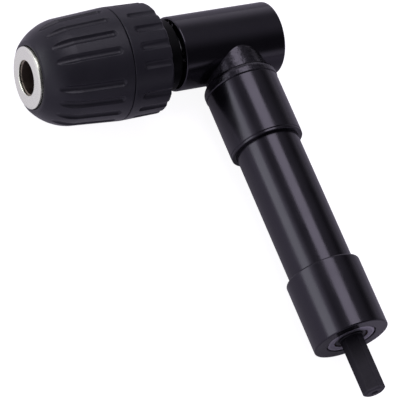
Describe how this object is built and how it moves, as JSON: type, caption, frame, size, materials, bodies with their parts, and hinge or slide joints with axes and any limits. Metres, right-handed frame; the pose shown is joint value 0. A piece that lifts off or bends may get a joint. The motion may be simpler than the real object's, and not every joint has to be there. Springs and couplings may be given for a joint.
{
  "type": "right angle drill attachment",
  "caption": "Right angle drill attachment: a hex shank in a long tube drives mitre bevel gears in the head, which turn a keyless three-jaw chuck set square to the tube.",
  "frame": {"origin": "on the shank axis, in the plane of the lower collar's end face, where the hex shank leaves", "axes": "-X along the chuck axis towards the nose, -Y along the shank axis towards the hex end, +Z square to the plane that holds both axes"},
  "size_m": [0.0862, 0.144, 0.0362],
  "materials": {
    "black_steel": "gloss black oxide",
    "blackened_steel": "satin black oxide",
    "black_plastic": "fine matte",
    "zinc_plate": "turned and plated",
    "bright_steel": "turned",
    "gear_steel": "hardened",
    "bearing_steel": "ground",
    "cage_brass": "pressed",
    "spring_steel": "dark phosphate"
  },
  "bodies": {
    "housing": {"head_housing": "black_steel", "head_end_cap": "black_steel", "head_snap_ring": "spring_steel", "neck_snap_ring": "spring_steel", "upper_sleeve": "black_steel", "main_tube": "black_steel", "lower_collar": "black_steel", "lower_bearing_outer": "bearing_steel", "lower_bearing_shield": "bearing_steel", "upper_bearing_outer": "bearing_steel", "front_bearing_outer": "bearing_steel", "front_bearing_shield": "bearing_steel", "rear_bearing_outer": "bearing_steel"},
    "input_shaft": {"input_shaft": "blackened_steel", "input_bevel_gear": "gear_steel", "input_gear_pin": "bright_steel", "lower_bearing_inner": "bearing_steel", "upper_bearing_inner": "bearing_steel"},
    "output_spindle": {"output_spindle": "bright_steel", "output_bevel_gear": "gear_steel", "output_gear_pin": "bright_steel", "front_bearing_inner": "bearing_steel", "rear_bearing_inner": "bearing_steel", "dust_collar": "black_plastic", "chuck_body": "bright_steel", "chuck_rear_ring": "black_plastic", "lock_screw": "spring_steel", "nose_ring": "zinc_plate", "thrust_washer": "bearing_steel"},
    "lower_balls": {"lower_bearing_balls": "bearing_steel", "lower_bearing_cage": "cage_brass"},
    "upper_balls": {"upper_bearing_balls": "bearing_steel", "upper_bearing_cage": "cage_brass"},
    "front_balls": {"front_bearing_balls": "bearing_steel", "front_bearing_cage": "cage_brass"},
    "rear_balls": {"rear_bearing_balls": "bearing_steel", "rear_bearing_cage": "cage_brass"},
    "chuck_sleeve": {"chuck_front_sleeve": "black_plastic", "nut_half_a": "gear_steel", "nut_half_b": "gear_steel", "nut_collar": "bright_steel"},
    "thrust_race": {"thrust_balls": "bearing_steel", "thrust_cage": "cage_brass"},
    "jaw_a": {"jaw_a": "gear_steel"},
    "jaw_b": {"jaw_b": "gear_steel"},
    "jaw_c": {"jaw_c": "gear_steel"}
  },
  "joints": [
    {"name": "spindle_spin", "type": "hinge", "parent": "housing", "child": "output_spindle", "pos_m": [0, 0.1075, 0], "axis": [-1, 0, 0], "continuous": true},
    {"name": "input_spin", "type": "hinge", "parent": "housing", "child": "input_shaft", "pos_m": [0, 0, 0], "axis": [0, -1, 0], "continuous": true},
    {"name": "lower_balls_roll", "type": "hinge", "parent": "housing", "child": "lower_balls", "pos_m": [0, 0, 0], "axis": [0, -1, 0], "continuous": true},
    {"name": "upper_balls_roll", "type": "hinge", "parent": "housing", "child": "upper_balls", "pos_m": [0, 0, 0], "axis": [0, -1, 0], "continuous": true},
    {"name": "front_balls_roll", "type": "hinge", "parent": "housing", "child": "front_balls", "pos_m": [0, 0.1075, 0], "axis": [-1, 0, 0], "continuous": true},
    {"name": "rear_balls_roll", "type": "hinge", "parent": "housing", "child": "rear_balls", "pos_m": [0, 0.1075, 0], "axis": [-1, 0, 0], "continuous": true},
    {"name": "sleeve_turn", "type": "hinge", "parent": "output_spindle", "child": "chuck_sleeve", "pos_m": [0, 0.1075, 0], "axis": [-1, 0, 0], "range_deg": [0, 3600]},
    {"name": "thrust_race_roll", "type": "hinge", "parent": "output_spindle", "child": "thrust_race", "pos_m": [0, 0.1075, 0], "axis": [-1, 0, 0], "range_deg": [0, 1800]},
    {"name": "jaw_a_slide", "type": "slide", "parent": "output_spindle", "child": "jaw_a", "axis": [-0.9659, 0, -0.2588], "range_m": [0, 0.01816]},
    {"name": "jaw_b_slide", "type": "slide", "parent": "output_spindle", "child": "jaw_b", "axis": [-0.9659, -0.2241, 0.1294], "range_m": [0, 0.01816]},
    {"name": "jaw_c_slide", "type": "slide", "parent": "output_spindle", "child": "jaw_c", "axis": [-0.9659, 0.2241, 0.1294], "range_m": [0, 0.01816]}
  ],
  "couplings": [
    {"joint": "input_spin", "follows": "spindle_spin", "ratio": -1},
    {"joint": "lower_balls_roll", "follows": "spindle_spin", "ratio": -0.4},
    {"joint": "upper_balls_roll", "follows": "spindle_spin", "ratio": -0.4},
    {"joint": "front_balls_roll", "follows": "spindle_spin", "ratio": 0.4},
    {"joint": "rear_balls_roll", "follows": "spindle_spin", "ratio": 0.4},
    {"joint": "thrust_race_roll", "follows": "sleeve_turn", "ratio": 0.5},
    {"joint": "jaw_a_slide", "follows": "sleeve_turn", "m_per_rad": 0.00028901},
    {"joint": "jaw_b_slide", "follows": "sleeve_turn", "m_per_rad": 0.00028901},
    {"joint": "jaw_c_slide", "follows": "sleeve_turn", "m_per_rad": 0.00028901}
  ]
}
